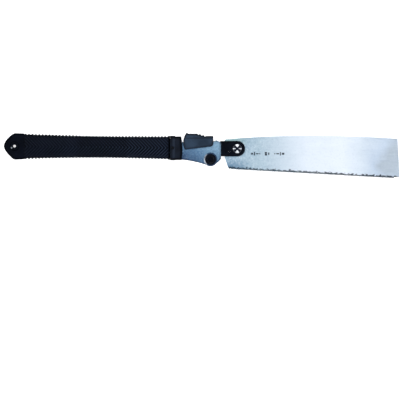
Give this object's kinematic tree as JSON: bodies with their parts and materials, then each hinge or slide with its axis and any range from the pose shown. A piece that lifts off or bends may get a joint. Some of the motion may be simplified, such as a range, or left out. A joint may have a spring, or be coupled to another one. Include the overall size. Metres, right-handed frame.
{
  "type": "folding pull saw",
  "caption": "Folding hand saw with a straight fine-toothed blade, a ribbed rubber grip and a thumb lever that locks the blade.",
  "frame": {"origin": "centre of the hanging hole in the grip's butt, at the middle of the saw's thickness", "axes": "+X along the saw towards the blade's tip, +Y from the teeth towards the back of the blade, +Z through its thickness, out of the side with the pivot bolt's head; the saw lies on its side"},
  "size_m": [0.5827, 0.0678, 0.022],
  "materials": {
    "grip_rubber": "ribbed soft rubber, very dark navy",
    "collar_plastic": "moulded hard plastic, dark navy",
    "lever_plastic": "moulded slate-blue plastic, fine grain",
    "spacer_plastic": "black moulded plastic",
    "pad_rubber": "soft black rubber",
    "plated_steel": "satin plated steel, blue-grey, fine speckle",
    "black_steel": "satin black oxide finish on steel",
    "blade_steel": "ground and polished saw steel",
    "bright_steel": "nickel-plated bright steel",
    "pin_steel": "turned steel",
    "spring_steel": "drawn spring wire",
    "bush_bronze": "sintered bronze, matt",
    "washer_plastic": "natural acetal"
  },
  "bodies": {
    "handle": {"frame_plate_near": "plated_steel", "frame_plate_far": "plated_steel", "spine_spacer": "spacer_plastic", "frame_rivets": "pin_steel", "blade_rest": "pad_rubber", "grip_sleeve": "grip_rubber", "grip_collar": "collar_plastic", "collar_screws": "black_steel", "hang_eyelet": "black_steel", "lever_pin": "pin_steel", "stop_pin": "pin_steel", "pivot_bolt": "black_steel", "pivot_nut": "black_steel", "nut_washer": "black_steel", "pivot_bush": "bush_bronze", "pivot_washer_near": "washer_plastic", "pivot_washer_far": "washer_plastic", "lever_spring": "spring_steel"},
    "lever": {"lock_lever": "black_steel", "lever_cap": "lever_plastic"},
    "blade_arm": {"holder_plate_near": "black_steel", "holder_plate_far": "black_steel", "holder_core": "black_steel", "holder_rivets": "black_steel", "blade_locator": "black_steel", "blade_screw": "bright_steel", "blade_nut": "bright_steel", "saw_blade": "blade_steel"}
  },
  "joints": [
    {"name": "blade_fold", "type": "hinge", "parent": "handle", "child": "blade_arm", "pos_m": [0.2885, -0.0195, 0], "axis": [0, 0, -1], "range_deg": [0, 180]},
    {"name": "lever_press", "type": "hinge", "parent": "handle", "child": "lever", "pos_m": [0.269, 0.002, 0], "axis": [0, 0, 1], "range_deg": [-6, 3], "stiffness_Nm_per_rad": 0.35, "deforming": ["lever_spring"]}
  ]
}
